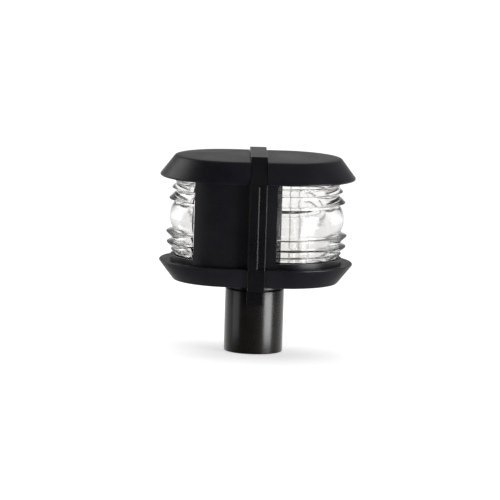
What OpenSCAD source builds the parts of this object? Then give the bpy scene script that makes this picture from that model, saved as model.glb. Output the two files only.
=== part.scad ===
// Twin navigation light for the top of a short pole on a boat.
// A 225 degree masthead lamp (+X) and a 135 degree stern lamp (-X) stand back to back
// on one centre plate. The plate's spigot sits in a pole socket for a 25 mm tube.
// Millimetres, +Z up. z = 0 is the open mouth of the pole socket, x = 0 the plate's middle.

/* [Lamp body] */
// Radius of each lamp's rounded end, at the cap rim
lamp_r = 36.8; // [30:0.1:46]
// From the centre plane to the centre of each lamp's rounded end
lens_axis_x = 13; // [11:0.5:17]
// From the base rim up to the cap rim
window_h = 42.8; // [35.5:0.1:54]
// Height of the base pan, underside to rim
base_h = 10.4; // [9:0.1:14]
// Height of the cap above its rim
cap_h = 10.9; // [9:0.1:13.5]
// Slope of the cap and base bevels, in degrees from vertical
bevel_deg = 37; // [30:1:45]
// Thickness of the moulded walls
wall_t = 2.2; // [1.8:0.1:2.8]

/* [Light windows] */
// From the centre plane to the window edge of the 225 degree masthead lamp
masthead_window_x = 9.6; // [9.2:0.1:12]
// From the centre plane to the window edge of the 135 degree stern lamp
stern_window_x = 32; // [26:0.5:38]

/* [Lens] */
// Thickness of the lens behind its prisms
lens_t = 2.6; // [2:0.1:3.2]
// How far the largest prism stands out of the lens
prism_h = 4.5; // [3.5:0.1:4.8]
// Thickness of the ring gaskets above and below the lens
gasket_t = 1.2; // [0.9:0.1:1.5]

/* [Bulb] */
// Length of the festoon bulb between its cap tips
bulb_len = 42; // [35:1:44]
// Radius of the bulb's glass
bulb_r = 5.25; // [4.4:0.05:6.3]

/* [Centre plate] */
// Thickness of the centre plate
plate_t = 8.5; // [7:0.1:10.2]
// How far the plate's edge stands out past the lamps
plate_proud = 2; // [1.6:0.1:3]

/* [Pole socket] */
// Outside diameter of the pole socket
pole_d = 30; // [29:0.5:36]
// Inside diameter of the pole socket, for a 25 mm tube
socket_bore_d = 25.3; // [20:0.1:25.8]
// Depth the tube goes in
socket_depth = 22; // [18:0.5:27]
// Length of the whole pole socket
socket_h = 32.2; // [30:0.1:40]

/* [Hidden] */
$fn = 96;
fit = 0.3; // room between a piece and the moving piece beside it

z_collar = socket_h + 0.5;
z_under = z_collar + 3.3;
z_rim = z_under + base_h;
z_lip = z_rim + 2.4;
z_cap = z_rim + window_h;
z_top = z_cap + cap_h;
z_mid = (z_lip + z_cap) / 2;
vis = (z_cap - z_lip) / 2;
slope = tan(bevel_deg);

// Rings seen from above, from the middle outwards
rim_r = lamp_r - 0.5;
wall_r = lamp_r - 3.8;
wall_in_r = wall_r - wall_t - 0.1;
lip_in_r = wall_in_r - 1.8;
lens_out_r = lip_in_r - fit;
lens_in_r = lens_out_r - lens_t;
groove_in_r = lens_in_r - fit;
ring_in_r = groove_in_r - 1.7;

// Along X, from the plate's face outwards
face_x = plate_t / 2;
back_x = face_x + 0.8;
front_x = back_x + wall_t;

z_gasket = z_rim - 2.9;
z_lens0 = z_gasket + gasket_t + fit;
z_lens1 = z_cap + 3.7;

screw_x = front_x + 2.45;
screw_y = ring_in_r - 2;
mount_y = screw_y - 6.5;
mount_z = [z_lip + 2.2, z_cap - 5.1];
port_y = 11.5;
port_z = z_lip + 9.2;
bulb_x = lens_axis_x + 9;
contact_z = bulb_len / 2 - 0.8;

spigot_r = pole_d / 2 - 2;
bore_r = socket_bore_d / 2;
z_spigot = socket_depth + 2.1;
z_tab = socket_depth + 3.5;
tab_y = pole_d / 2 + 2.5;
pin_z = z_collar - 3.9;
lock_z = socket_depth / 2;

black = [0.09, 0.09, 0.1];
rubber = [0.18, 0.18, 0.19];
steel = [0.72, 0.73, 0.75];

// ---- shared shapes ----

// Sweeps an [r, z] section round a lamp: a half turn about the lens axis, then
// straight back on both sides to x_start.
module lobe(section, x_start) {
    translate([lens_axis_x, 0, 0]) rotate([0, 0, -90])
        rotate_extrude(angle = 180) polygon(section);
    translate([x_start, 0, 0]) rotate([90, 0, 90])
        linear_extrude(lens_axis_x - x_start) {
            polygon(section);
            mirror([1, 0]) polygon(section);
        }
}

// A flat sheet, x0 to x1, from half its outline in [y, z]. The outline starts and
// ends at y = 0, and its mirror image makes the other half.
module sheet(outline, x0, x1) {
    other = [for (i = [len(outline) - 2 : -1 : 1]) [-outline[i][0], outline[i][1]]];
    translate([x0, 0, 0]) rotate([90, 0, 90]) linear_extrude(x1 - x0)
        polygon(concat(outline, other));
}

module ahead_of(x) { translate([x, -100, -10]) cube([120, 200, 160]); }

module at_mount_screws() {
    for (side = [-1, 1], z = mount_z)
        translate([0, side * mount_y, z]) rotate([0, 90, 0]) children();
}

module at_cap_screws() {
    for (side = [-1, 1]) translate([screw_x, side * screw_y, 0]) children();
}

module stern() { rotate([0, 0, 180]) children(); }

// ---- bracket ----

plate_y = lamp_r + plate_proud;
plate_bevel_y = plate_y - (cap_h + 1.5) * slope * 1.7;
plate_outline = [
    [0, z_tab], [tab_y, z_tab], [tab_y, z_under - 4],
    [rim_r - 6.1, z_under - 1.8], [plate_y, z_rim - 0.4],
    [plate_y, z_cap + 0.5], [plate_bevel_y, z_top + plate_proud], [0, z_top + plate_proud]
];

module centre_plate() {
    color(black) difference() {
        union() {
            sheet(plate_outline, -plate_t / 2, plate_t / 2);
            translate([0, 0, z_collar]) cylinder(h = z_under - z_collar, r = pole_d / 2);
            translate([0, 0, z_spigot]) cylinder(h = z_under - z_spigot, r = spigot_r);
        }
        // bore for the cable, then the slot for the leads and its cross branch
        translate([0, 0, z_spigot - 1]) cylinder(h = z_under - z_spigot + 1, r = 8);
        translate([-2.2, -4, z_under - 1]) cube([4.4, 8, port_z + 4 - z_under]);
        translate([-2.2, -port_y - 2.5, port_z - 3]) cube([4.4, 2 * port_y + 5, 6]);
        for (side = [-1, 1]) translate([-10, side * port_y, port_z]) rotate([0, 90, 0])
            cylinder(h = 20, r = 1.5);
        // pilot holes for the lamp screws and the pole screws
        for (turn = [0, 180]) rotate([0, 0, turn]) at_mount_screws()
            translate([0, 0, 0.7]) cylinder(h = 10, r = 1.55);
        translate([-20, 0, pin_z]) rotate([0, 90, 0]) cylinder(h = 40, r = 1.55);
        // parting step down the middle of the plate's edge
        for (side = [-1, 1])
            translate([0.3, side * plate_y - 0.8, z_rim + 0.6])
                cube([10, 1.6, window_h - 1.2]);
    }
}

module pole_socket() {
    r = pole_d / 2;
    color(black) difference() {
        rotate_extrude() polygon([
            [bore_r, 0], [r - 0.5, 0], [r, 0.5], [r, socket_h - 0.5],
            [r - 0.5, socket_h], [spigot_r + 0.25, socket_h],
            [spigot_r + 0.25, socket_depth], [bore_r, socket_depth]
        ]);
        // slots the plate's tabs drop into
        translate([-plate_t / 2 - 0.2, -20, z_tab]) cube([plate_t + 0.4, 40, 20]);
        // pole screw holes with flat seats
        translate([-20, 0, pin_z]) rotate([0, 90, 0]) cylinder(h = 40, r = 1.7);
        for (turn = [0, 180]) rotate([0, 0, turn])
            translate([r - 1, 0, pin_z]) rotate([0, 90, 0]) cylinder(h = 5, r = 2.7);
        // lock screw hole, at the back
        translate([0, 5, lock_z]) rotate([-90, 0, 0]) cylinder(h = 20, r = 2.8);
    }
}

module pole_screws() {
    color(steel) for (turn = [0, 180]) rotate([0, 0, turn]) translate([0, 0, pin_z])
        rotate([0, 90, 0]) difference() {
            union() {
                translate([0, 0, 8.8]) cylinder(h = pole_d / 2 - 9.8, r = 1.5);
                translate([0, 0, pole_d / 2 - 1]) cylinder(h = 0.9, r = 2.4);
            }
            translate([-0.35, -3, pole_d / 2 - 0.5]) cube([0.7, 6, 2]);
        }
}

module pole_lock_screw() {
    color(steel) translate([0, bore_r + 0.3, lock_z]) rotate([-90, 0, 0]) difference() {
        rotate_extrude() polygon([
            [0, 0], [1.9, 0], [2.5, 0.6], [2.5, 4.2], [2.1, 4.6], [0, 4.6]
        ]);
        translate([0, 0, 2.2]) cylinder(h = 4, r = 1.45, $fn = 6);
    }
}

module cable_grommet() {
    color(rubber) difference() {
        union() {
            translate([0, 0, z_spigot - 1.5]) cylinder(h = 1.5, r = 10);
            translate([0, 0, z_spigot]) cylinder(h = 3.4, r = 7.6);
        }
        translate([0, 0, z_spigot - 5]) cylinder(h = 12, r = 3);
    }
}

module terminal_block() {
    color([0.85, 0.83, 0.76]) difference() {
        translate([-5, -5, z_spigot + 3.4]) cube([10, 10, 6.5]);
        // wire entries from below and clamp screw wells in the sides
        for (x = [-2.5, 2.5]) {
            translate([x, 0, z_spigot + 2]) cylinder(h = 4.5, r = 1.2);
            for (y = [-6, 4]) translate([x, y, z_spigot + 7]) rotate([-90, 0, 0])
                cylinder(h = 2, r = 1.1);
        }
    }
}

module mount_screws() {
    color(steel) for (turn = [0, 180]) rotate([0, 0, turn]) at_mount_screws()
        difference() {
            union() {
                translate([0, 0, 1]) cylinder(h = front_x - 1, r = 1.5);
                translate([0, 0, front_x]) cylinder(h = 1.3, r = 2.8);
                translate([0, 0, front_x + 1.3]) cylinder(h = 0.6, r1 = 2.8, r2 = 1.9);
            }
            for (a = [0, 90]) rotate([0, 0, a])
                translate([-1.6, -0.35, front_x + 0.9]) cube([3.2, 0.7, 2]);
        }
}

module cap_screws() {
    z_head = z_under + 3;
    color(steel) for (turn = [0, 180]) rotate([0, 0, turn]) at_cap_screws()
        difference() {
            union() {
                translate([0, 0, z_head - 1.8]) cylinder(h = 1.8, r = 2.7);
                translate([0, 0, z_head]) cylinder(h = z_cap + 4.4 - z_head, r = 1.5);
                translate([0, 0, z_cap + 4.4]) cylinder(h = 1, r1 = 1.5, r2 = 0.6);
            }
            for (a = [0, 90]) rotate([0, 0, a])
                translate([-1.6, -0.35, z_head - 3]) cube([3.2, 0.7, 2.1]);
        }
}

// ---- one lamp, looking along +X ----

foot_r = rim_r - (base_h - 1) * slope;
pan_in = wall_t / cos(bevel_deg);
base_outer = [
    [0, z_under], [foot_r - 0.9, z_under], [foot_r - 0.2, z_under + 0.3],
    [rim_r, z_rim - 0.8], [rim_r - 0.1, z_rim - 0.2], [rim_r - 0.4, z_rim]
];
pan_deck_r = rim_r - pan_in - (z_rim - 0.8 - z_gasket + 1.5) * slope;
pan_floor_r = rim_r - pan_in - (z_rim - 0.8 - z_under - wall_t) * slope;
base_section = concat(base_outer, [
    [wall_in_r, z_rim], [wall_in_r, z_lip], [lip_in_r, z_lip],
    [lip_in_r, z_gasket], [groove_in_r, z_gasket], [groove_in_r, z_rim],
    [ring_in_r, z_rim], [ring_in_r, z_gasket - 1.5], [pan_deck_r, z_gasket - 1.5],
    [pan_floor_r, z_under + wall_t], [0, z_under + wall_t]
]);

module lamp_base(window_x) {
    color(black) difference() {
        union() {
            lobe(base_section, back_x);
            sheet(concat(base_outer, [[wall_r, z_rim], [wall_r, z_cap - fit],
                [0, z_cap - fit]]), back_x, front_x);
            // side walls that screen the light, and the jambs at the window edges
            difference() {
                lobe([[wall_in_r, z_rim - 1], [wall_r, z_rim - 1],
                    [wall_r, z_cap + 1], [wall_in_r, z_cap + 1]], front_x);
                ahead_of(window_x);
            }
            difference() {
                lobe([[lip_in_r, z_rim - 1], [wall_r - 0.5, z_rim - 1],
                    [wall_r - 0.5, z_cap - fit], [lip_in_r, z_cap - fit]], front_x);
                ahead_of(window_x);
                if (window_x > front_x + 4)
                    translate([-60, -100, z_rim - 2]) cube([60 + window_x - wall_t, 200, 80]);
            }
            at_cap_screws() {
                translate([0, 0, z_under]) cylinder(h = 5, r = 4.5);
                translate([0, 0, z_under]) cylinder(h = z_cap - fit - z_under, r = 3);
            }
        }
        at_cap_screws() {
            translate([0, 0, z_under - 1]) cylinder(h = 4, r = 3);
            translate([0, 0, z_under - 1]) cylinder(h = 80, r = 1.8);
        }
        at_mount_screws() cylinder(h = 20, r = 1.7);
        for (side = [-1, 1]) translate([0, side * port_y, port_z]) rotate([0, 90, 0])
            cylinder(h = 20, r = 1.5);
    }
}

cap_edge_r = lamp_r - (cap_h - 1.5) * slope;
cap_outer = [
    [lamp_r - 0.3, z_cap], [lamp_r, z_cap + 0.2], [lamp_r, z_cap + 0.8],
    [cap_edge_r, z_top - 0.7], [cap_edge_r - 0.6, z_top - 0.2],
    [cap_edge_r - 1.5, z_top], [0, z_top]
];
cap_section = concat([
    [0, z_top - wall_t], [ring_in_r, z_top - wall_t], [ring_in_r, z_cap + 1.2],
    [groove_in_r, z_cap + 1.2], [groove_in_r, z_lens1 + gasket_t],
    [lip_in_r, z_lens1 + gasket_t], [lip_in_r, z_cap], [wall_in_r - 0.4, z_cap],
    [wall_in_r - 0.4, z_cap + 1.5], [wall_r + 0.4, z_cap + 1.5], [wall_r + 0.4, z_cap]
], cap_outer);

module lamp_cap() {
    color(black) difference() {
        union() {
            lobe(cap_section, face_x + fit);
            sheet(concat([[0, z_cap]], cap_outer), face_x + fit, face_x + fit + wall_t);
            at_cap_screws()
                translate([0, 0, z_cap]) cylinder(h = cap_h - wall_t + 0.5, r = 3.2);
        }
        at_cap_screws() translate([0, 0, z_cap - 1]) cylinder(h = 7, r = 1.8);
    }
}

// The Fresnel section above and below the lens centre, as [r past the lens, z] points.
// The lens is a little wider at its foot, so the lower prisms stand out further.
p = prism_h / 4.5;
q = vis / 20.2;
prisms_up = [
    [2.8 * p, 0.6 * q], [2.6 * p, 2 * q], [2.2 * p, 3.5 * q], [1.4 * p, 5.2 * q],
    [0.2 * p, 6.9 * q], [0.2 * p, 8.1 * q], [3.2 * p, 8.4 * q], [3.4 * p, 8.8 * q],
    [0, 12.2 * q], [0, 13.6 * q], [1.8 * p, 13.9 * q], [2 * p, 14.3 * q],
    [0, 16.5 * q], [0, 17.6 * q], [0.7 * p, 17.8 * q], [0.7 * p, 18.2 * q], [0, 19.6 * q]
];
prisms_down = [
    [2.9 * p, 0.9 * q], [2.75 * p, 2.6 * q], [2.3 * p, 4.3 * q], [1.5 * p, 5.9 * q],
    [0.6 * p, 7 * q], [0.6 * p, 8 * q], [4.3 * p, 8.3 * q], [4.5 * p, 8.7 * q],
    [0.8 * p, 12.2 * q], [0.8 * p, 13.4 * q], [3.9 * p, 13.7 * q], [4.1 * p, 14.1 * q],
    [1 * p, 16.8 * q], [1 * p, 17.3 * q], [1.8 * p, 17.5 * q], [1.8 * p, 17.9 * q],
    [0, 19.6 * q]
];
last = len(prisms_down) - 1;
lens_face = concat(
    [for (i = [last : -1 : 0]) [lens_out_r + prisms_down[i][0], z_mid - prisms_down[i][1]]],
    [for (i = [0 : last]) [lens_out_r + prisms_up[i][0], z_mid + prisms_up[i][1]]]
);

module lamp_lens(window_x) {
    x_start = max(window_x - 3.5, front_x + fit);
    color([0.85, 0.93, 0.95, 0.5]) {
        difference() {
            lobe([[lens_in_r, z_lens0], [lens_out_r, z_lens0],
                [lens_out_r, z_lens1], [lens_in_r, z_lens1]], front_x + fit);
            if (x_start > front_x + fit)
                translate([-60, -100, 0]) cube([60 + x_start, 200, 160]);
        }
        difference() {
            lobe(concat([[lens_in_r + 0.8, z_mid - vis]], lens_face,
                [[lens_in_r + 0.8, z_mid + vis]]), front_x + fit);
            translate([-60, -100, 0]) cube([60 + window_x + fit, 200, 160]);
        }
    }
}

module ring_gasket(z, x_start) {
    color(rubber) lobe([[groove_in_r + 0.2, z], [lip_in_r - 0.2, z],
        [lip_in_r - 0.2, z + gasket_t], [groove_in_r + 0.2, z + gasket_t]], x_start);
}

module back_gasket() {
    color(rubber) difference() {
        sheet([[0, z_rim - 2], [wall_r - 2, z_rim - 2], [wall_r - 2, z_cap - 2],
            [0, z_cap - 2]], face_x, back_x);
        at_mount_screws() cylinder(h = 20, r = 1.8);
        for (side = [-1, 1]) translate([0, side * port_y, port_z]) rotate([0, 90, 0])
            cylinder(h = 20, r = 1.8);
    }
}

module bulb_holder() {
    color([0.93, 0.93, 0.9]) {
        translate([front_x, -9, z_mid - contact_z - 4.8])
            cube([2, 18, 2 * contact_z + 9.6]);
        for (side = [0, 1]) translate([0, 0, z_mid]) mirror([0, 0, side])
            translate([front_x + 2, -9, contact_z]) cube([7.8, 18, 2]);
    }
}

module contact() {
    // spring blade under the holder's arm, with a notch the bulb slides into
    color([0.8, 0.65, 0.3]) difference() {
        translate([front_x + 2, 0, contact_z - 0.6]) {
            translate([0, -6, 0]) cube([bulb_x + 4 - front_x - 2, 12, 0.6]);
            translate([0, 5, 0]) cube([3.8, port_y + 1.5 - 5, 0.6]);
        }
        translate([bulb_x, 0, contact_z - 2]) cylinder(h = 4, r = 3.2);
        translate([bulb_x, -3.2, contact_z - 2]) cube([20, 6.4, 4]);
    }
}

module upper_contact() { translate([0, 0, z_mid]) contact(); }
module lower_contact() { translate([0, 0, z_mid]) rotate([180, 0, 0]) contact(); }

module bulb_glass() {
    h = bulb_len / 2 - 5;
    color([0.9, 0.95, 1, 0.4]) translate([bulb_x, 0, z_mid]) rotate_extrude() polygon([
        [3.9, -h], [bulb_r - 0.4, 3 - h], [bulb_r, 5 - h], [bulb_r, h - 5],
        [bulb_r - 0.4, h - 3], [3.9, h], [3.3, h], [bulb_r - 1.1, h - 3.1],
        [bulb_r - 0.7, h - 5], [bulb_r - 0.7, 5 - h], [bulb_r - 1.1, 3.1 - h], [3.3, -h]
    ]);
}

module bulb_caps() {
    h = bulb_len / 2;
    color(steel) for (side = [0, 1]) translate([bulb_x, 0, z_mid]) mirror([0, 0, side])
        rotate_extrude() polygon([
            [0, h - 5], [4.25, h - 5], [4.25, h - 2.7], [1.5, h - 0.2], [1, h], [0, h]
        ]);
}

module filament() {
    color([0.95, 0.8, 0.4]) translate([bulb_x, 0, z_mid]) {
        cylinder(h = bulb_len - 10, r = 0.25, center = true);
        cylinder(h = bulb_len / 3, r = 0.7, center = true);
    }
}

// A wire through a list of points: rods with round joints
module wire(points, r) {
    for (i = [0 : len(points) - 2]) {
        a = points[i];
        d = points[i + 1] - a;
        translate(a) {
            if (d[2] != 0) translate([0, 0, min(0, d[2])]) cylinder(h = abs(d[2]), r = r);
            if (d[1] != 0) translate([0, max(0, d[1]), 0]) rotate([90, 0, 0])
                cylinder(h = abs(d[1]), r = r);
            if (d[0] != 0) translate([min(0, d[0]), 0, 0]) rotate([0, 90, 0])
                cylinder(h = abs(d[0]), r = r);
            if (i > 0) sphere(r = r);
        }
    }
}

module leads() {
    x = front_x + 3.8;
    color([0.7, 0.12, 0.1]) for (side = [1, -1]) wire([
        [x, side * port_y, z_mid + side * (contact_z - 0.6)],
        [x, side * port_y, port_z],
        [1.1, side * port_y, port_z],
        [1.1, side * 2.5, port_z],
        [1.1, side * 2.5, z_spigot + 9.9]
    ], 0.6);
}

// ---- the masthead lamp ----

module masthead_base() { lamp_base(masthead_window_x); }
module masthead_cap() { lamp_cap(); }
module masthead_lens() { lamp_lens(masthead_window_x); }
module masthead_upper_gasket() { ring_gasket(z_lens1, front_x); }
module masthead_lower_gasket() { ring_gasket(z_gasket, front_x); }
module masthead_back_gasket() { back_gasket(); }
module masthead_bulb_holder() { bulb_holder(); }
module masthead_upper_contact() { upper_contact(); }
module masthead_lower_contact() { lower_contact(); }
module masthead_bulb_glass() { bulb_glass(); }
module masthead_bulb_caps() { bulb_caps(); }
module masthead_filament() { filament(); }
module masthead_leads() { leads(); }

// ---- the stern lamp ----

module stern_base() { stern() lamp_base(stern_window_x); }
module stern_cap() { stern() lamp_cap(); }
module stern_lens() { stern() lamp_lens(stern_window_x); }
module stern_upper_gasket() { stern() ring_gasket(z_lens1, front_x); }
module stern_lower_gasket() { stern() ring_gasket(z_gasket, front_x); }
module stern_back_gasket() { stern() back_gasket(); }
module stern_bulb_holder() { stern() bulb_holder(); }
module stern_upper_contact() { stern() upper_contact(); }
module stern_lower_contact() { stern() lower_contact(); }
module stern_bulb_glass() { stern() bulb_glass(); }
module stern_bulb_caps() { stern() bulb_caps(); }
module stern_filament() { stern() filament(); }
module stern_leads() { stern() leads(); }

centre_plate();
pole_socket();
pole_screws();
pole_lock_screw();
cable_grommet();
terminal_block();
mount_screws();
cap_screws();
masthead_base();
masthead_cap();
masthead_lens();
masthead_upper_gasket();
masthead_lower_gasket();
masthead_back_gasket();
masthead_bulb_holder();
masthead_upper_contact();
masthead_lower_contact();
masthead_bulb_glass();
masthead_bulb_caps();
masthead_filament();
masthead_leads();
stern_base();
stern_cap();
stern_lens();
stern_upper_gasket();
stern_lower_gasket();
stern_back_gasket();
stern_bulb_holder();
stern_upper_contact();
stern_lower_contact();
stern_bulb_glass();
stern_bulb_caps();
stern_filament();
stern_leads();
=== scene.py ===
import math

import bmesh
import bpy
from mathutils import Matrix, Vector


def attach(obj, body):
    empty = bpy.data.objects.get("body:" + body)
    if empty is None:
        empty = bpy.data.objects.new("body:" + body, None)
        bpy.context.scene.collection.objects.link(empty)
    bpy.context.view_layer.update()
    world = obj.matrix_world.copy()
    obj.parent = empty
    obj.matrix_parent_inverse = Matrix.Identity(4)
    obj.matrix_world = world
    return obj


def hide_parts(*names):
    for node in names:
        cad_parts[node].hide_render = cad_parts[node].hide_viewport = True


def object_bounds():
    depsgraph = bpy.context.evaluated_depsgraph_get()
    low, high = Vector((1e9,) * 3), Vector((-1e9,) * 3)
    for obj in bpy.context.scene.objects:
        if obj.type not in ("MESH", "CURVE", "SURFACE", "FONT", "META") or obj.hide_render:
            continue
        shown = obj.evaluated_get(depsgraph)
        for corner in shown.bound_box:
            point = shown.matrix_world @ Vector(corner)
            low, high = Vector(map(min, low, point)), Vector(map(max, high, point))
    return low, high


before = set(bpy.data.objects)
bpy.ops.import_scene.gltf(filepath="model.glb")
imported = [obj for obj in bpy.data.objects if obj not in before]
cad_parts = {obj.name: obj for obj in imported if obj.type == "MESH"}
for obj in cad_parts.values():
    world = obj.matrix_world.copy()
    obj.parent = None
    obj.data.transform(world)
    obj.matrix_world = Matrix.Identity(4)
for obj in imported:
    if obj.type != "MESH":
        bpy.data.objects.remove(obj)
cad_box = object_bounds()
MM = 0.001

# ---- sizes in millimetres, as in the CAD source ----
# Both lamps are built on the masthead side, +X, and the stern one is then turned half round.

SHELL = 2.2                     # thickness of the moulded walls
FIT = 0.3                       # room between a piece and the piece beside it

# along X, from the middle of the centre plate outwards
PLATE_T = 8.5
FACE_X = PLATE_T / 2            # face of the centre plate
BACK_X = FACE_X + 0.8           # back of a base, behind its gasket
FRONT_X = BACK_X + SHELL        # front of the base's back wall
AXIS_X = 13.0                   # centre of a lamp's rounded end
BULB_X = AXIS_X + 9
WINDOW = {"masthead": 9.6, "stern": 32.0}
TURN = {"masthead": 1.0, "stern": -1.0}

# rings seen from above, from the outside inwards
PLATE_Y = 38.8
LAMP_R = 36.8
RIM_R = 36.3
WALL_R = 33.0
WALL_IN = 30.7
LIP_IN = 28.9
LENS_OUT = 28.6
LENS_IN = 26.0
GROOVE_IN = 25.7
RING_IN = 24.0

# heights, from the mouth of the pole socket
Z_POLE = 22.0                   # the pole goes in this far
Z_TAB = 25.5
Z_SOCKET = 32.2
Z_COLLAR = 32.7
Z_UNDER = 36.0
Z_RIM = 46.4
Z_LIP = 48.8
Z_CAP = 89.2
Z_TOP = 100.1
Z_MID = (Z_LIP + Z_CAP) / 2
Z_GASKET = Z_RIM - 2.9
GASKET_T = 1.2
Z_LENS0 = Z_GASKET + GASKET_T + FIT
Z_LENS1 = Z_CAP + 3.7
SLOPE_ANGLE = math.radians(37)  # of the caps' and bases' bevels, from upright
SLOPE = math.tan(SLOPE_ANGLE)

# pole socket and spigot
POLE_R = 15.0
BORE_R = 12.65
SPIGOT_R = 13.0
SPIGOT_IN = 8.0
TAB_Y = POLE_R + 2.5

# screws and ways for the leads
SCREW_X, SCREW_Y = FRONT_X + 2.45, RING_IN - 2      # cap screws
SCREW_HOLE_R = 1.8
HEAD_ROOM_R = 3.0
PORT_Y, PORT_Z = 11.5, Z_LIP + 9.2                  # leads, through the back walls
PORT_R = 1.5
MOUNT_Y, MOUNT_Z = 15.5, (Z_LIP + 2.2, Z_CAP - 5.1)     # mount screws, through the back walls
MOUNT_HOLE_R = 1.9
PIN_Z = Z_COLLAR - 3.9                              # pole screws, across the socket
PIN_HOLE_R, PIN_HEAD_R, PIN_SEAT = 1.7, 2.7, 14.0
LOCK_Z = Z_POLE / 2                                 # lock screw, in the back of the socket
LOCK_HOLE_R = 2.8

# where cuts start or end, clear of the wall they go through
THROUGH = 20.0
Z_BELOW_TAB = 20.0
Z_BELOW_PAN = 30.0
Z_ABOVE_SOCKET = 40.0

SLIT = 0.08                     # between the centre plate and a cap
ON_AXIS = 1e-6                  # a smaller radius counts as the axis itself
SHARP_DEG = 32                  # an edge with a larger angle is shaded sharp
HOLE_STEPS = 32                 # flats round a small hole
POST_STEPS = 48                 # flats round a post or a screw's seat
SIDES = (-1, 1)


# ---- mesh helpers ----

def shade(bm, sharp_deg):
    """Makes all faces smooth and the edges over an angle sharp."""
    for f in bm.faces:
        f.smooth = True
    for e in bm.edges:
        if len(e.link_faces) == 2:
            e.smooth = e.calc_face_angle(0) < math.radians(sharp_deg)


def round_edges(obj, width, segments, angle_deg, harden=True):
    """Rounds the edges that are sharper than an angle."""
    m = obj.modifiers.new("edges", "BEVEL")
    m.width = width * MM
    m.segments = segments
    m.limit_method = "ANGLE"
    m.angle_limit = math.radians(angle_deg)
    m.harden_normals = harden


def to_object(name, bm, bevel=0.0, segments=2, sharp_deg=SHARP_DEG, bevel_deg=32):
    """Turns a bmesh in millimetres into a smooth-shaded object with sharp and rounded edges."""
    bmesh.ops.remove_doubles(bm, verts=bm.verts, dist=1e-4)
    bmesh.ops.recalc_face_normals(bm, faces=bm.faces)
    bmesh.ops.scale(bm, vec=(MM, MM, MM), verts=bm.verts)
    shade(bm, sharp_deg)
    mesh = bpy.data.meshes.new(name)
    bm.to_mesh(mesh)
    bm.free()
    obj = bpy.data.objects.new(name, mesh)
    bpy.context.collection.objects.link(obj)
    if bevel:
        round_edges(obj, bevel, segments, bevel_deg)
    return obj


def box_section(r0, r1, z0, z1):
    """A rectangle as [r, z] points."""
    return [(r0, z0), (r1, z0), (r1, z1), (r0, z1)]


def lathe(bm, profile, steps, centre=(0, 0, 0), axis="Z", closed=False):
    """Adds a solid turned about an axis through centre. profile is [r, distance along the axis]."""
    rings = []
    for i in range(steps):
        a = 2 * math.pi * i / steps
        ring = []
        for r, z in profile:
            p = (r * math.cos(a), r * math.sin(a), z)
            if axis == "X":
                p = (p[2], p[0], p[1])
            elif axis == "Y":
                p = (p[1], p[2], p[0])
            ring.append(bm.verts.new([q + c for q, c in zip(p, centre)]))
        rings.append(ring)
    n = len(profile)
    for i in range(steps):
        a, b = rings[i], rings[(i + 1) % steps]
        for k in range(n if closed else n - 1):
            j = (k + 1) % n
            if profile[k][0] < ON_AXIS and profile[j][0] < ON_AXIS:
                continue
            if profile[k][0] < ON_AXIS:
                bm.faces.new((a[k], a[j], b[j]))
            elif profile[j][0] < ON_AXIS:
                bm.faces.new((a[k], a[j], b[k]))
            else:
                bm.faces.new((a[k], a[j], b[j], b[k]))


def tube(bm, x, y, r_out, r_in, z0, z1):
    """Adds an upright tube."""
    lathe(bm, box_section(r_in, r_out, z0, z1), POST_STEPS, (x, y, 0), closed=True)


def slab(bm, outline, x0, x1):
    """Adds a flat sheet from x0 to x1. outline is its +Y half in [y, z], from y = 0 to y = 0."""
    full = list(outline) + [(-y, z) for y, z in outline[-2:0:-1]]
    a = [bm.verts.new((x0, y, z)) for y, z in full]
    b = [bm.verts.new((x1, y, z)) for y, z in full]
    bm.faces.new(a)
    bm.faces.new(b[::-1])
    for i in range(len(full)):
        j = (i + 1) % len(full)
        bm.faces.new((a[i], a[j], b[j], b[i]))


def block(bm, lo, hi):
    """Adds a box from its lowest to its highest corner."""
    v = [bm.verts.new((x, y, z))
         for x in (lo[0], hi[0]) for y in (lo[1], hi[1]) for z in (lo[2], hi[2])]
    for q in ((0, 1, 3, 2), (4, 6, 7, 5), (0, 4, 5, 1), (2, 3, 7, 6), (0, 2, 6, 4), (1, 5, 7, 3)):
        bm.faces.new([v[i] for i in q])


def at_x(r, x, side):
    """Where the sweep of radius r crosses the plane x, on one side."""
    if x <= AXIS_X:
        return x, side * r
    t = math.asin(min(1.0, (x - AXIS_X) / r))
    return x, side * r * math.cos(t)


def on_arc(r, x_from, f):
    """A point a share f of the way round the sweep's end, counted from the plane x_from."""
    t = math.asin(min(1.0, (x_from - AXIS_X) / r)) if x_from > AXIS_X else 0.0
    half = math.pi / 2 - t
    a = -half + 2 * half * f
    return AXIS_X + r * math.cos(a), r * math.sin(a)


def skin(bm, stations, section):
    """Joins the stations of a sweep with faces and closes both ends."""
    rings = [[bm.verts.new(p) for p in s] for s in stations]
    n = len(section)
    for a, b in zip(rings, rings[1:]):
        for k in range(n):
            j = (k + 1) % n
            if section[k][0] < ON_AXIS and section[j][0] < ON_AXIS:
                continue
            bm.faces.new((a[k], a[j], b[j], b[k]))
    for ring in (rings[0], rings[-1]):
        bm.faces.new(ring)


def lobe(bm, section, x0, steps=112, plain=None, x_full=None):
    """Sweeps a closed [r, z] section round a lamp. With a plain section, which has as many points,
    the sweep has that one between x0 and x_full."""
    def flat(shape, x, side):
        return [at_x(r, x, side) + (z,) for r, z in shape]

    first = plain if plain else section
    start = x_full if plain else x0
    stations = [flat(first, x0, -1)]
    if plain:
        stations += [flat(plain, x_full, -1), flat(section, x_full, -1)]
    for i in range(steps + 1):
        stations.append([on_arc(r, start, i / steps) + (z,) if r > ON_AXIS else (AXIS_X, 0.0, z)
                         for r, z in section])
    if plain:
        stations += [flat(section, x_full, 1), flat(plain, x_full, 1)]
    stations.append(flat(first, x0, 1))
    skin(bm, stations, section)


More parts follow.
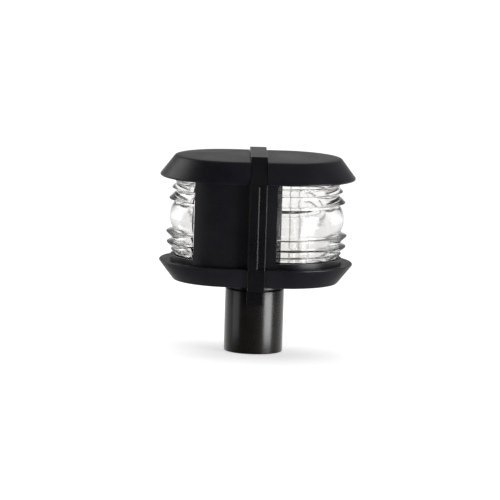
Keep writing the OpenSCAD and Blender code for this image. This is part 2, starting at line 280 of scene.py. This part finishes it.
def side_strip(bm, section, x0, x1, side):
    """One side of a sweep, from the plane x0 to the plane x1."""
    steps = 48
    stations = []
    if x0 < AXIS_X:
        stations.append([at_x(r, x0, side) + (z,) for r, z in section])
    lo = max(x0, AXIS_X)
    if x1 > AXIS_X:
        for i in range(steps + 1):
            ring = []
            for r, z in section:
                t0 = math.asin((lo - AXIS_X) / r)
                t1 = math.asin((x1 - AXIS_X) / r)
                t = t0 + (t1 - t0) * i / steps
                ring.append((AXIS_X + r * math.sin(t), side * r * math.cos(t), z))
            stations.append(ring)
    else:
        stations.append([at_x(r, x1, side) + (z,) for r, z in section])
    skin(bm, stations, section)


def cut(obj, bm):
    """Cuts a bmesh out of an object, keeps the result as its mesh and clears slivers from it."""
    cutter = to_object("cutter", bm)
    m = obj.modifiers.new("cut", "BOOLEAN")
    m.operation = "DIFFERENCE"
    m.solver = "EXACT"
    m.object = cutter
    others = [(x, x.show_viewport) for x in obj.modifiers if x.name != "cut"]
    for x, _ in others:
        x.show_viewport = False
    bpy.context.view_layer.update()
    depsgraph = bpy.context.evaluated_depsgraph_get()
    new = bpy.data.meshes.new_from_object(obj.evaluated_get(depsgraph))
    obj.modifiers.remove(m)
    for x, shown in others:
        x.show_viewport = shown
    old = obj.data
    obj.data = new
    new.name = old.name
    bpy.data.meshes.remove(old)
    bpy.data.objects.remove(cutter)
    sliver = 0.003 * MM
    bm = bmesh.new()
    bm.from_mesh(new)
    bmesh.ops.remove_doubles(bm, verts=bm.verts, dist=sliver)
    bmesh.ops.dissolve_degenerate(bm, edges=bm.edges, dist=sliver)
    shade(bm, SHARP_DEG)
    bm.to_mesh(new)
    bm.free()


def merged(name, objects):
    """Joins several objects' meshes into one new object."""
    bm = bmesh.new()
    for o in objects:
        bm.from_mesh(o.data)
        mesh = o.data
        bpy.data.objects.remove(o)
        bpy.data.meshes.remove(mesh)
    bmesh.ops.scale(bm, vec=(1 / MM, 1 / MM, 1 / MM), verts=bm.verts)
    return to_object(name, bm)


def turned(bm, sign):
    """Turns a masthead-side shape round to the stern side."""
    if sign < 0:
        half_turn = Matrix.Rotation(math.pi, 3, "Z")
        bmesh.ops.rotate(bm, verts=bm.verts, cent=(0, 0, 0), matrix=half_turn)


def turned_object(obj, sign):
    """Does what turned does, to a finished mesh."""
    if sign < 0:
        obj.data.transform(Matrix.Rotation(math.pi, 4, "Z"))


def place(obj, body, material, slot, *nodes):
    """Gives a piece its finish, its body and the CAD nodes it stands in for. slot is not used."""
    obj.data.materials.clear()
    obj.data.materials.append(material)
    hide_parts(*nodes)
    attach(obj, body)


# ---- materials ----

def tree(name):
    """A material with a Principled shader and nothing else but texture coordinates."""
    mat = bpy.data.materials.new(name)
    mat.use_nodes = True
    nt = mat.node_tree
    nt.nodes.clear()
    out = nt.nodes.new("ShaderNodeOutputMaterial")
    bsdf = nt.nodes.new("ShaderNodeBsdfPrincipled")
    nt.links.new(bsdf.outputs[0], out.inputs[0])
    coord = nt.nodes.new("ShaderNodeTexCoord")
    return mat, nt, bsdf, coord


def noise(nt, coord, scale, detail):
    n = nt.nodes.new("ShaderNodeTexNoise")
    n.inputs["Scale"].default_value = scale
    n.inputs["Detail"].default_value = detail
    n.inputs["Roughness"].default_value = 0.55
    nt.links.new(coord.outputs["Object"], n.inputs["Vector"])
    return n.outputs["Fac"]


def map_range(nt, source, src_lo, src_hi, lo, hi):
    m = nt.nodes.new("ShaderNodeMapRange")
    m.inputs["From Min"].default_value = src_lo
    m.inputs["From Max"].default_value = src_hi
    m.inputs["To Min"].default_value = lo
    m.inputs["To Max"].default_value = hi
    nt.links.new(source, m.inputs["Value"])
    return m.outputs[0]


def from_noise(nt, source, lo, hi):
    """Spreads a noise, which mostly lies between 0.3 and 0.7, over lo to hi."""
    return map_range(nt, source, 0.3, 0.7, lo, hi)


def math_node(nt, operation, a, b):
    m = nt.nodes.new("ShaderNodeMath")
    m.operation = operation
    nt.links.new(a, m.inputs[0])
    nt.links.new(b, m.inputs[1])
    return m.outputs[0]


def two_colours(nt, source, a, b):
    r = nt.nodes.new("ShaderNodeValToRGB")
    for stop, position, colour in zip(r.color_ramp.elements, (0.35, 0.65), (a, b)):
        stop.position = position
        stop.color = (*colour, 1)
    nt.links.new(source, r.inputs["Fac"])
    return r.outputs["Color"]


def bump_node(nt, height, depth):
    """A bump whose height is depth in millimetres."""
    bump = nt.nodes.new("ShaderNodeBump")
    bump.inputs["Distance"].default_value = depth * MM
    nt.links.new(height, bump.inputs["Height"])
    return bump


PER_METRE = 1000.0              # noise scale of a pattern with one feature in a millimetre
PATCH_SCALE = 45.0              # noise scale of the broad patches of colour and gloss
MOTTLE_SIZE = 1.7               # width of one dent in a mottled moulding


def surface(name, a, b, rough, spread, grain, depth, metallic=0.0, specular=0.5, coat=0.0,
            coat_rough=0.1, mottle=0.0):
    """A finish with two close colours in soft patches, a grain in bump, and uneven gloss.
    grain is the size of one grain, depth its height and mottle the height of coarser dents,
    all in millimetres."""
    mat, nt, bsdf, coord = tree(name)
    broad = noise(nt, coord, PATCH_SCALE, 4.0)
    fine = noise(nt, coord, PER_METRE / grain, 3.0)
    nt.links.new(two_colours(nt, broad, a, b), bsdf.inputs["Base Color"])
    patchy = from_noise(nt, broad, rough - spread / 2, rough + spread / 2)
    grainy = from_noise(nt, fine, -spread / 3, spread / 3)
    nt.links.new(math_node(nt, "ADD", patchy, grainy), bsdf.inputs["Roughness"])
    bump = bump_node(nt, fine, depth)
    if mottle:
        under = bump_node(nt, noise(nt, coord, PER_METRE / MOTTLE_SIZE, 2.0), mottle)
        nt.links.new(under.outputs[0], bump.inputs["Normal"])
    nt.links.new(bump.outputs[0], bsdf.inputs["Normal"])
    bsdf.inputs["Metallic"].default_value = metallic
    bsdf.inputs["Specular IOR Level"].default_value = specular
    bsdf.inputs["Coat Weight"].default_value = coat
    bsdf.inputs["Coat Roughness"].default_value = coat_rough
    return mat


def clear(name, colour, ior, rough, wave, depth):
    """A clear material with a faint moulding ripple, wave wide and depth high in millimetres."""
    mat, nt, bsdf, coord = tree(name)
    ripple = noise(nt, coord, PER_METRE / wave, 2.0)
    nt.links.new(from_noise(nt, ripple, rough * 0.6, rough * 1.5), bsdf.inputs["Roughness"])
    lighter = tuple(min(1.0, c * 1.01) for c in colour)
    nt.links.new(two_colours(nt, ripple, colour, lighter), bsdf.inputs["Base Color"])
    nt.links.new(bump_node(nt, ripple, depth).outputs[0], bsdf.inputs["Normal"])
    bsdf.inputs["Transmission Weight"].default_value = 1.0
    bsdf.inputs["IOR"].default_value = ior
    return mat


BLACK = surface("black_moulded_plastic", (0.0075, 0.0069, 0.0100), (0.0112, 0.0103, 0.0140),
                0.34, 0.10, 0.55, 0.030, specular=0.38, mottle=0.07)
SATIN = surface("black_plate_plastic", (0.0028, 0.0029, 0.0038), (0.0048, 0.0050, 0.0062),
                0.30, 0.10, 0.7, 0.016, specular=0.45)
POLE = surface("black_coated_tube", (0.0055, 0.0048, 0.0044), (0.0095, 0.0080, 0.0070),
               0.27, 0.08, 0.35, 0.006, specular=0.5, coat=0.25, coat_rough=0.16)
STEEL = surface("machined_steel", (0.55, 0.55, 0.56), (0.68, 0.68, 0.69),
                0.28, 0.12, 0.25, 0.006, metallic=1.0)
RUBBER = surface("black_rubber", (0.020, 0.020, 0.021), (0.035, 0.035, 0.036),
                 0.72, 0.12, 0.3, 0.02, specular=0.3)
CREAM = surface("cream_plastic", (0.62, 0.58, 0.46), (0.70, 0.66, 0.54),
                0.5, 0.12, 0.5, 0.01)
WHITE = surface("white_plastic", (0.76, 0.76, 0.73), (0.84, 0.84, 0.81),
                0.42, 0.12, 0.6, 0.01)
BRASS = surface("spring_brass", (0.66, 0.48, 0.20), (0.74, 0.57, 0.28),
                0.25, 0.14, 0.3, 0.005, metallic=1.0)
NICKEL = surface("nickel_cap", (0.60, 0.58, 0.54), (0.70, 0.68, 0.64),
                 0.22, 0.12, 0.3, 0.004, metallic=1.0)
WIRE = surface("filament_wire", (0.30, 0.28, 0.26), (0.42, 0.40, 0.37),
               0.35, 0.1, 0.1, 0.004, metallic=1.0)
LEAD = surface("lead_insulation", (0.34, 0.025, 0.02), (0.44, 0.04, 0.03),
               0.45, 0.12, 0.3, 0.01)
LENS = clear("clear_lens_plastic", (0.985, 0.979, 0.970), 1.49, 0.085, 3.0, 0.002)
GLASS = clear("bulb_glass", (0.99, 0.995, 1.0), 1.3, 0.01, 4.0, 0.001)

# ---- caps ----

CAP_EDGE = LAMP_R - (Z_TOP - Z_CAP - 1.5) * SLOPE
CAP_OUTER = [
    (LAMP_R - 0.3, Z_CAP), (LAMP_R, Z_CAP + 0.2), (LAMP_R, Z_CAP + 0.8),
    (LAMP_R - 0.15, Z_CAP + 1.1), (CAP_EDGE + 0.25, Z_TOP - 1.0), (CAP_EDGE - 0.05, Z_TOP - 0.68),
    (CAP_EDGE - 0.5, Z_TOP - 0.38), (CAP_EDGE - 1.2, Z_TOP - 0.2), (CAP_EDGE - 3, Z_TOP - 0.1),
    (CAP_EDGE - 10, Z_TOP - 0.04), (0, Z_TOP)
]
CAP_SECTION = [
    (0, Z_TOP - SHELL), (RING_IN, Z_TOP - SHELL), (RING_IN, Z_CAP + 1.2), (GROOVE_IN, Z_CAP + 1.2),
    (GROOVE_IN, Z_LENS1 + GASKET_T), (LIP_IN, Z_LENS1 + GASKET_T), (LIP_IN, Z_CAP),
    (WALL_IN - 0.4, Z_CAP), (WALL_IN - 0.4, Z_CAP + 1.5), (WALL_R + 0.4, Z_CAP + 1.5),
    (WALL_R + 0.4, Z_CAP)
] + CAP_OUTER
CAP_POST_R = 3.2
# the cap's back wall stays just inside the sweep, so that no two faces lie in one plane
CAP_BACK = [(0, Z_CAP + 0.05)] + [(y - 0.06 if y else 0, z - 0.05) for y, z in CAP_OUTER[1:]]
for lamp, sign in TURN.items():
    bm = bmesh.new()
    lobe(bm, CAP_SECTION, FACE_X + SLIT)
    slab(bm, CAP_BACK, FACE_X + 0.12, FACE_X + 2.5)
    for side in SIDES:
        tube(bm, SCREW_X, side * SCREW_Y, CAP_POST_R, SCREW_HOLE_R, Z_CAP + 0.02, Z_TOP - 2.0)
    turned(bm, sign)
    shell = to_object(lamp + "_cap_shell", bm, bevel=0.18, sharp_deg=25, bevel_deg=40)
    place(shell, lamp + "_cover", BLACK, "black_plastic", lamp + "_cap")

# ---- bases ----

PAN_IN = SHELL / math.cos(SLOPE_ANGLE)      # a sloping wall's thickness, measured level
DECK_Z = Z_GASKET - 1.5
FLOOR_Z = Z_UNDER + SHELL
FOOT = RIM_R - (Z_RIM - Z_UNDER - 1) * SLOPE
DECK = RIM_R - PAN_IN - (Z_RIM - 0.8 - Z_GASKET + 1.5) * SLOPE
FLOOR = RIM_R - PAN_IN - (Z_RIM - 0.8 - Z_UNDER - SHELL) * SLOPE
BASE_OUTER = [
    (0, Z_UNDER), (FOOT - 1.1, Z_UNDER), (FOOT - 0.5, Z_UNDER + 0.12),
    (FOOT - 0.05, Z_UNDER + 0.45), (RIM_R - 0.12, Z_RIM - 1.0), (RIM_R, Z_RIM - 0.75),
    (RIM_R - 0.05, Z_RIM - 0.3), (RIM_R - 0.35, Z_RIM)
]
BASE_SECTION = BASE_OUTER + [
    (WALL_IN, Z_RIM), (WALL_IN, Z_LIP), (LIP_IN, Z_LIP), (LIP_IN, Z_GASKET), (GROOVE_IN, Z_GASKET),
    (GROOVE_IN, Z_RIM), (RING_IN, Z_RIM), (RING_IN, DECK_Z), (DECK, DECK_Z), (FLOOR, FLOOR_Z),
    (0, FLOOR_Z)
]
BASE_BACK = [
    (0, Z_UNDER + 0.06), (FOOT - 1, Z_UNDER + 0.06), (RIM_R - 0.2, Z_RIM - 0.75),
    (RIM_R - 0.5, Z_RIM - 0.05), (WALL_R - 0.04, Z_RIM - 0.05), (WALL_R - 0.04, Z_CAP - 0.3),
    (0, Z_CAP - 0.3)
]
SIDE_WALL = box_section(WALL_IN - 0.02, WALL_R, Z_RIM - 1, Z_CAP + 1)
JAMB = box_section(LIP_IN, WALL_R - 0.5, Z_RIM - 1, Z_CAP - 0.3)
BASE_POSTS = (                  # outside, inside, bottom and top: head seat, head room, post
    (4.5, 2.45, Z_UNDER + 2.9, Z_UNDER + 5.0),
    (4.5, HEAD_ROOM_R, Z_UNDER + 0.06, Z_UNDER + 3.0),
    (2.5, SCREW_HOLE_R, Z_UNDER + 3.0, Z_CAP - 0.3),
)
for lamp, sign in TURN.items():
    window = WINDOW[lamp]
    bm = bmesh.new()
    lobe(bm, BASE_SECTION, BACK_X)
    pan = to_object("pan", bm)
    cutter = bmesh.new()
    for side in SIDES:
        lathe(cutter, box_section(0, HEAD_ROOM_R + 0.4, Z_BELOW_PAN, Z_UNDER + 2.8), POST_STEPS,
              (SCREW_X, side * SCREW_Y, 0))
    cut(pan, cutter)
    bm = bmesh.new()
    slab(bm, BASE_BACK, BACK_X + 0.02, FRONT_X)
    back = to_object("back", bm)
    cutter = bmesh.new()
    for side in SIDES:
        lathe(cutter, box_section(0, PORT_R, 0, THROUGH), HOLE_STEPS,
              (0, side * PORT_Y, PORT_Z), "X")
    cut(back, cutter)
    bm = bmesh.new()
    for side in SIDES:
        for post in BASE_POSTS:
            tube(bm, SCREW_X, side * SCREW_Y, *post)
        side_strip(bm, SIDE_WALL, FRONT_X - 0.2, window, side)
        side_strip(bm, JAMB, max(FRONT_X - 0.1, window - SHELL), window - 0.02, side)
    base = merged("base", [pan, back, to_object("walls", bm)])
    turned_object(base, sign)
    base.name = base.data.name = lamp + "_base_shell"
    round_edges(base, 0.22, 2, 40)
    place(base, "bracket", BLACK, "black_plastic", lamp + "_base")

# ---- back gaskets, out to the edge of the joint ----

BACK_SEAL = [
    (0, Z_UNDER + 0.3), (FOOT - 1.0, Z_UNDER + 0.3), (RIM_R - 0.5, Z_RIM - 0.9),
    (RIM_R - 0.8, Z_RIM - 0.2), (WALL_R - 0.3, Z_RIM - 0.2), (WALL_R - 0.3, Z_CAP - 0.4),
    (0, Z_CAP - 0.4)
]
for lamp, sign in TURN.items():
    bm = bmesh.new()
    slab(bm, BACK_SEAL, FACE_X + 0.02, BACK_X + 0.01)
    sheet = to_object(lamp + "_back_seal", bm)
    cutter = bmesh.new()
    for side in SIDES:
        lathe(cutter, box_section(0, PORT_R + 0.1, 0, THROUGH), HOLE_STEPS,
              (0, side * PORT_Y, PORT_Z), "X")
        for z in MOUNT_Z:
            lathe(cutter, box_section(0, MOUNT_HOLE_R, 0, THROUGH), HOLE_STEPS,
                  (0, side * MOUNT_Y, z), "X")
    cut(sheet, cutter)
    turned_object(sheet, sign)
    place(sheet, "bracket", RUBBER, "rubber", lamp + "_back_gasket")

# ---- lenses ----
# the outside of a lens as [out from LENS_OUT, up or down from the middle]

ABOVE = [
    (2.82, 0.0), (2.8, 0.6), (2.72, 1.4), (2.6, 2.2), (2.4, 3.1), (2.1, 4.1), (1.65, 5.1),
    (1.0, 6.1), (0.2, 6.9), (0.2, 8.1), (3.1, 8.3), (3.35, 8.45), (3.4, 8.65), (3.25, 8.95),
    (0.1, 12.0), (0, 12.2), (0, 13.6), (1.75, 13.8), (1.98, 13.95), (2.0, 14.2), (1.85, 14.5),
    (0.1, 16.3), (0, 16.5), (0, 17.6), (0.6, 17.75), (0.7, 17.95), (0.55, 18.3), (0, 19.6)
]
BELOW = [
    (2.88, 0.9), (2.82, 1.8), (2.7, 2.7), (2.5, 3.6), (2.2, 4.5), (1.75, 5.5), (1.2, 6.4),
    (0.6, 7.0), (0.6, 8.0), (4.2, 8.2), (4.45, 8.35), (4.5, 8.55), (4.35, 8.85), (0.9, 12.1),
    (0.8, 12.3), (0.8, 13.4), (3.8, 13.6), (4.05, 13.75), (4.1, 13.95), (3.95, 14.25), (1.1, 16.7),
    (1.0, 16.9), (1.0, 17.3), (1.7, 17.45), (1.8, 17.6), (1.7, 17.9), (0, 19.6)
]
LENS_FACE = [(LENS_OUT + r, Z_MID - z) for r, z in reversed(BELOW)]
LENS_FACE += [(LENS_OUT + r, Z_MID + z) for r, z in ABOVE]
LENS_SECTION = [(LENS_IN, Z_LENS0), (LENS_OUT, Z_LENS0)] + LENS_FACE
LENS_SECTION += [(LENS_OUT, Z_LENS1), (LENS_IN, Z_LENS1)]
LENS_PLAIN = [(min(r, LENS_OUT), z) for r, z in LENS_SECTION]
LENS_STEPS = {"masthead": 160, "stern": 96}
LENS_TUCK = 3.5                 # how far a lens's smooth edge runs on behind the side walls
for lamp, sign in TURN.items():
    window = WINDOW[lamp]
    bm = bmesh.new()
    lobe(bm, LENS_SECTION, max(window - LENS_TUCK, FRONT_X + FIT), LENS_STEPS[lamp], LENS_PLAIN,
         window + FIT)
    turned(bm, sign)
    lens = to_object(lamp + "_prism_lens", bm, sharp_deg=28)
    place(lens, lamp + "_cover", LENS, "clear_lens", lamp + "_lens")

# ---- gaskets, in the lens grooves ----

for lamp, sign in TURN.items():
    for where, z, body in (("upper", Z_LENS1, lamp + "_cover"), ("lower", Z_GASKET, "bracket")):
        bm = bmesh.new()
        lobe(bm, box_section(GROOVE_IN + 0.2, LIP_IN - 0.2, z, z + GASKET_T), FRONT_X)
        turned(bm, sign)
        seal = to_object(lamp + "_" + where + "_seal", bm, bevel=0.25, segments=3)
        place(seal, body, RUBBER, "rubber", lamp + "_" + where + "_gasket")

# ---- centre plate ----

PLATE_TOP = Z_TOP + 2
# the plate's upper corners slope further inwards than the caps do
PLATE_BEVEL_Y = PLATE_Y - (Z_TOP - Z_CAP + 1.5) * SLOPE * 1.7
PLATE_OUTLINE = [
    (0, Z_TAB), (TAB_Y, Z_TAB), (TAB_Y, Z_UNDER - 4), (RIM_R - 6.1, Z_UNDER - 1.8),
    (PLATE_Y, Z_RIM - 0.4), (PLATE_Y, Z_CAP + 0.5), (PLATE_BEVEL_Y, PLATE_TOP), (0, PLATE_TOP)
]
COLLAR = [
    (SPIGOT_IN, 24.1), (SPIGOT_R - 0.3, 24.1), (SPIGOT_R, 24.4), (SPIGOT_R, Z_COLLAR),
    (POLE_R - 0.4, Z_COLLAR), (POLE_R, Z_COLLAR + 0.35), (POLE_R, Z_UNDER - 0.02),
    (SPIGOT_IN, Z_UNDER - 0.02)
]
bm = bmesh.new()
slab(bm, PLATE_OUTLINE, -FACE_X, FACE_X)
plate = to_object("centre_plate_body", bm, bevel=0.42, segments=3, sharp_deg=25, bevel_deg=20)
# a shallow step in each upright edge, beside the masthead lamp, and the bore under the lamps
cutter = bmesh.new()
for side in SIDES:
    y0, y1 = sorted((side * (PLATE_Y - 0.8), side * (PLATE_Y + 1)))
    block(cutter, (0.3, y0, Z_RIM + 0.6), (8, y1, Z_CAP - 0.6))
lathe(cutter, box_section(0, SPIGOT_IN, Z_BELOW_TAB, Z_UNDER), 64)
cut(plate, cutter)
place(plate, "bracket", SATIN, "black_plastic", "centre_plate")
bm = bmesh.new()
lathe(bm, COLLAR, 128, closed=True)
place(to_object("centre_plate_collar", bm), "bracket", SATIN, "black_plastic", "centre_plate")

# ---- pole socket ----

SOCKET = [
    (BORE_R, 0.15), (BORE_R + 0.15, 0), (POLE_R - 0.45, 0), (POLE_R - 0.1, 0.15), (POLE_R, 0.5),
    (POLE_R, Z_SOCKET - 0.5), (POLE_R - 0.15, Z_SOCKET - 0.12), (POLE_R - 0.5, Z_SOCKET),
    (SPIGOT_R + 0.25, Z_SOCKET), (SPIGOT_R + 0.25, Z_POLE), (BORE_R, Z_POLE)
]
PIN_HOLE = [
    (0, -THROUGH), (PIN_HEAD_R, -THROUGH), (PIN_HEAD_R, -PIN_SEAT), (PIN_HOLE_R, -PIN_SEAT),
    (PIN_HOLE_R, PIN_SEAT), (PIN_HEAD_R, PIN_SEAT), (PIN_HEAD_R, THROUGH), (0, THROUGH)
]
bm = bmesh.new()
lathe(bm, SOCKET, 160, closed=True)
socket = to_object("pole_socket_tube", bm)
# the slot for the plate's two tabs, open at the top, and the screw holes
cutter = bmesh.new()
block(cutter, (-FACE_X - 0.2, -THROUGH, Z_TAB), (FACE_X + 0.2, THROUGH, Z_ABOVE_SOCKET))
lathe(cutter, box_section(0, LOCK_HOLE_R, 0, THROUGH), POST_STEPS, (0, 5, LOCK_Z), "Y")
lathe(cutter, PIN_HOLE, POST_STEPS, (0, 0, PIN_Z), "X")
cut(socket, cutter)
round_edges(socket, 0.12, 2, 40, harden=False)
place(socket, "bracket", POLE, "pole_black", "pole_socket")

# ---- bulbs ----

BULB_CENTRE = (BULB_X, 0, 0)
GLASS_H = 16.0                  # half the length of the glass
# outside and inside of the glass as [r, up from its lower end]
GLASS_OUTER = [(3.9, 0), (4.0, 0.7), (4.35, 1.8), (4.85, 3), (5.15, 4.2), (5.25, 5.6)]
GLASS_INNER = [(3.55, 0), (3.65, 0.8), (4.0, 1.9), (4.5, 3.1), (4.8, 4.3), (4.9, 5.7)]
# an end cap as [r, distance from the bulb's middle]
BULB_END = [
    (0, GLASS_H), (4.0, GLASS_H), (4.25, 16.15), (4.25, 18.0), (4.1, 18.3), (3.7, 18.6),
    (1.55, 20.6), (1.3, 20.75), (1.1, 20.85), (0.9, 20.98), (0, 21)
]
COIL_TURNS = 16
COIL_STEPS = 12                 # points in one turn
COIL_R = 0.5
COIL_LENGTH = 14
WIRE_R = 0.13
WIRE_SIDES = 6


def filament_path():
    """A coil on two straight wires, from one end of the glass to the other."""
    legs = [GLASS_H - 1.5 * i for i in range(6)]
    path = [(0, 0, -z) for z in legs]
    last = COIL_TURNS * COIL_STEPS
    for i in range(last + 1):
        a = 2 * math.pi * i / COIL_STEPS
        k = min(1.0, i / COIL_STEPS, (last - i) / COIL_STEPS)
        path.append((COIL_R * k * math.cos(a), COIL_R * k * math.sin(a),
                     -COIL_LENGTH / 2 + COIL_LENGTH * i / last))
    return path + [(0, 0, z) for z in reversed(legs)]


def wire(bm, path, centre):
    """Adds a round wire along a path."""
    angles = [2 * math.pi * k / WIRE_SIDES for k in range(WIRE_SIDES)]
    rings = []
    for i, p in enumerate(path):
        ahead = Vector(path[min(i + 1, len(path) - 1)]) - Vector(path[max(i - 1, 0)])
        along = ahead.normalized()
        u = ahead.orthogonal().normalized() if i == 0 else (u - along * u.dot(along)).normalized()
        v = along.cross(u)
        rings.append([
            bm.verts.new(Vector(p) + WIRE_R * (u * math.cos(t) + v * math.sin(t)) + centre)
            for t in angles
        ])
    for a, b in zip(rings, rings[1:]):
        for k in range(WIRE_SIDES):
            j = (k + 1) % WIRE_SIDES
            bm.faces.new((a[k], a[j], b[j], b[k]))
    bm.faces.new(rings[0])
    bm.faces.new(rings[-1])


for lamp, sign in TURN.items():
    body = lamp + "_bulb"
    bm = bmesh.new()
    outer = [(r, z - GLASS_H) for r, z in GLASS_OUTER]
    inner = [(r, z - GLASS_H) for r, z in GLASS_INNER]
    profile = outer + [(r, -z) for r, z in reversed(outer)]
    profile += [(r, -z) for r, z in inner] + inner[::-1]
    lathe(bm, [(r, z + Z_MID) for r, z in profile], 72, BULB_CENTRE, closed=True)
    turned(bm, sign)
    place(to_object(lamp + "_bulb_tube", bm), body, GLASS, "bulb_glass", lamp + "_bulb_glass")
    bm = bmesh.new()
    for s in (1, -1):
        lathe(bm, [(r, Z_MID + s * z) for r, z in BULB_END], 64, BULB_CENTRE)
    turned(bm, sign)
    place(to_object(lamp + "_bulb_ends", bm), body, NICKEL, "bulb_metal", lamp + "_bulb_caps")
    bm = bmesh.new()
    wire(bm, filament_path(), Vector((BULB_X, 0, Z_MID)))
    turned(bm, sign)
    coil = to_object(lamp + "_filament_coil", bm, sharp_deg=80)
    place(coil, body, WIRE, "filament_wire", lamp + "_filament")

# ---- CAD pieces that keep their shape and get their finish here ----

KEPT = {
    "pole_screws": STEEL, "pole_lock_screw": STEEL, "mount_screws": STEEL, "cap_screws": STEEL,
    "cable_grommet": RUBBER, "terminal_block": CREAM,
}
for lamp in TURN:
    KEPT.update({
        lamp + "_bulb_holder": WHITE, lamp + "_upper_contact": BRASS,
        lamp + "_lower_contact": BRASS, lamp + "_leads": LEAD,
    })
for node, material in KEPT.items():
    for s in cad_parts[node].material_slots:
        s.material = material

# ---- floor ----

FLOOR_DROP = 0.0002             # metres below the part's lowest point
bpy.ops.mesh.primitive_plane_add(size=30, location=(0, 0, cad_box[0][2] - FLOOR_DROP))
floor = bpy.context.object
floor.name = "studio_floor"
mat, _, bsdf, _ = tree("pale_floor")
bsdf.inputs["Base Color"].default_value = (0.9, 0.9, 0.9, 1)
bsdf.inputs["Roughness"].default_value = 0.9
bsdf.inputs["Specular IOR Level"].default_value = 0.0
bsdf.inputs["Emission Color"].default_value = (1, 1, 1, 1)
bsdf.inputs["Emission Strength"].default_value = 0.58
floor.data.materials.append(mat)
floor.visible_glossy = False
floor.visible_shadow = False

# ---- light all round ----
# bright behind, dim above and below, dark in front; evenly bright to a ray that came through a lens

world = bpy.data.worlds.new("studio")
bpy.context.scene.world = world
world.use_nodes = True
wt = world.node_tree
sky = wt.nodes["Background"]
direction = wt.nodes.new("ShaderNodeSeparateXYZ")
wt.links.new(wt.nodes.new("ShaderNodeTexCoord").outputs["Generated"], direction.inputs[0])
through = wt.nodes.new("ShaderNodeLightPath").outputs["Is Transmission Ray"]
around = map_range(wt, direction.outputs["Y"], -0.25, 0.95, 0.05, 1.0)
above = map_range(wt, direction.outputs["Z"], 0.0, 0.14, 1.0, 0.28)
below = map_range(wt, direction.outputs["Z"], -0.5, -0.2, 0.25, 1.0)
seen = math_node(wt, "MULTIPLY", math_node(wt, "MULTIPLY", around, above), below)
strength = math_node(wt, "MAXIMUM", seen, map_range(wt, through, 0, 1, 0.0, 0.93))
wt.links.new(strength, sky.inputs["Strength"])
sky.inputs["Color"].default_value = (1, 1, 1, 1)

# ---- lamps ----

LIT_POINT = Vector((0, 0, 0.065))   # in metres, a little below the middle of the lenses


def towards(azimuth, elevation):
    """The direction from the part to a lamp or camera. Azimuth 0 is the photograph's side, -Y."""
    level = math.cos(elevation)
    return Vector((math.sin(azimuth) * level, -math.cos(azimuth) * level, math.sin(elevation)))


def softbox(name, azimuth, elevation, distance, size, power):
    """A rectangular lamp that faces LIT_POINT. Angles are in degrees and sizes in metres."""
    data = bpy.data.lights.new(name, "AREA")
    data.shape = "RECTANGLE"
    data.size, data.size_y = size
    data.energy = power
    obj = bpy.data.objects.new(name, data)
    bpy.context.collection.objects.link(obj)
    d = towards(math.radians(azimuth), math.radians(elevation))
    obj.location = LIT_POINT + d * distance
    obj.rotation_euler = d.to_track_quat("Z", "Y").to_euler()
    obj.visible_camera = False


softbox("key_right", 56, 2, 1.1, (0.62, 0.9), 13)
softbox("fill_left", -76, 2, 1.3, (0.7, 0.9), 1.6)
softbox("edge_left", -118, 28, 1.3, (0.9, 0.6), 2.6)
sun = bpy.data.objects.new("overhead", bpy.data.lights.new("overhead", "SUN"))
bpy.context.collection.objects.link(sun)
sun.data.energy = 1.3
sun.data.angle = math.radians(70)
sun.rotation_euler = (math.radians(-12), 0, 0)
sun.visible_glossy = False

# ---- camera, at the photograph's angle ----

CAMERA_DISTANCE = 2.6
target = Vector((-3.0, 0, 51.55)) * MM
back = towards(math.radians(-0.9), math.radians(7.75))
roll = Matrix.Rotation(math.radians(1.75), 4, "Z").to_quaternion()
cam_data = bpy.data.cameras.new("camera")
cam_data.lens = 366.8
cam_data.sensor_width = 36
cam_data.clip_end = 60
camera = bpy.data.objects.new("camera", cam_data)
bpy.context.collection.objects.link(camera)
camera.location = target + back * CAMERA_DISTANCE
camera.rotation_mode = "QUATERNION"
camera.rotation_quaternion = back.to_track_quat("Z", "Y") @ roll
bpy.context.scene.camera = camera
bpy.context.scene.view_settings.view_transform = "Standard"
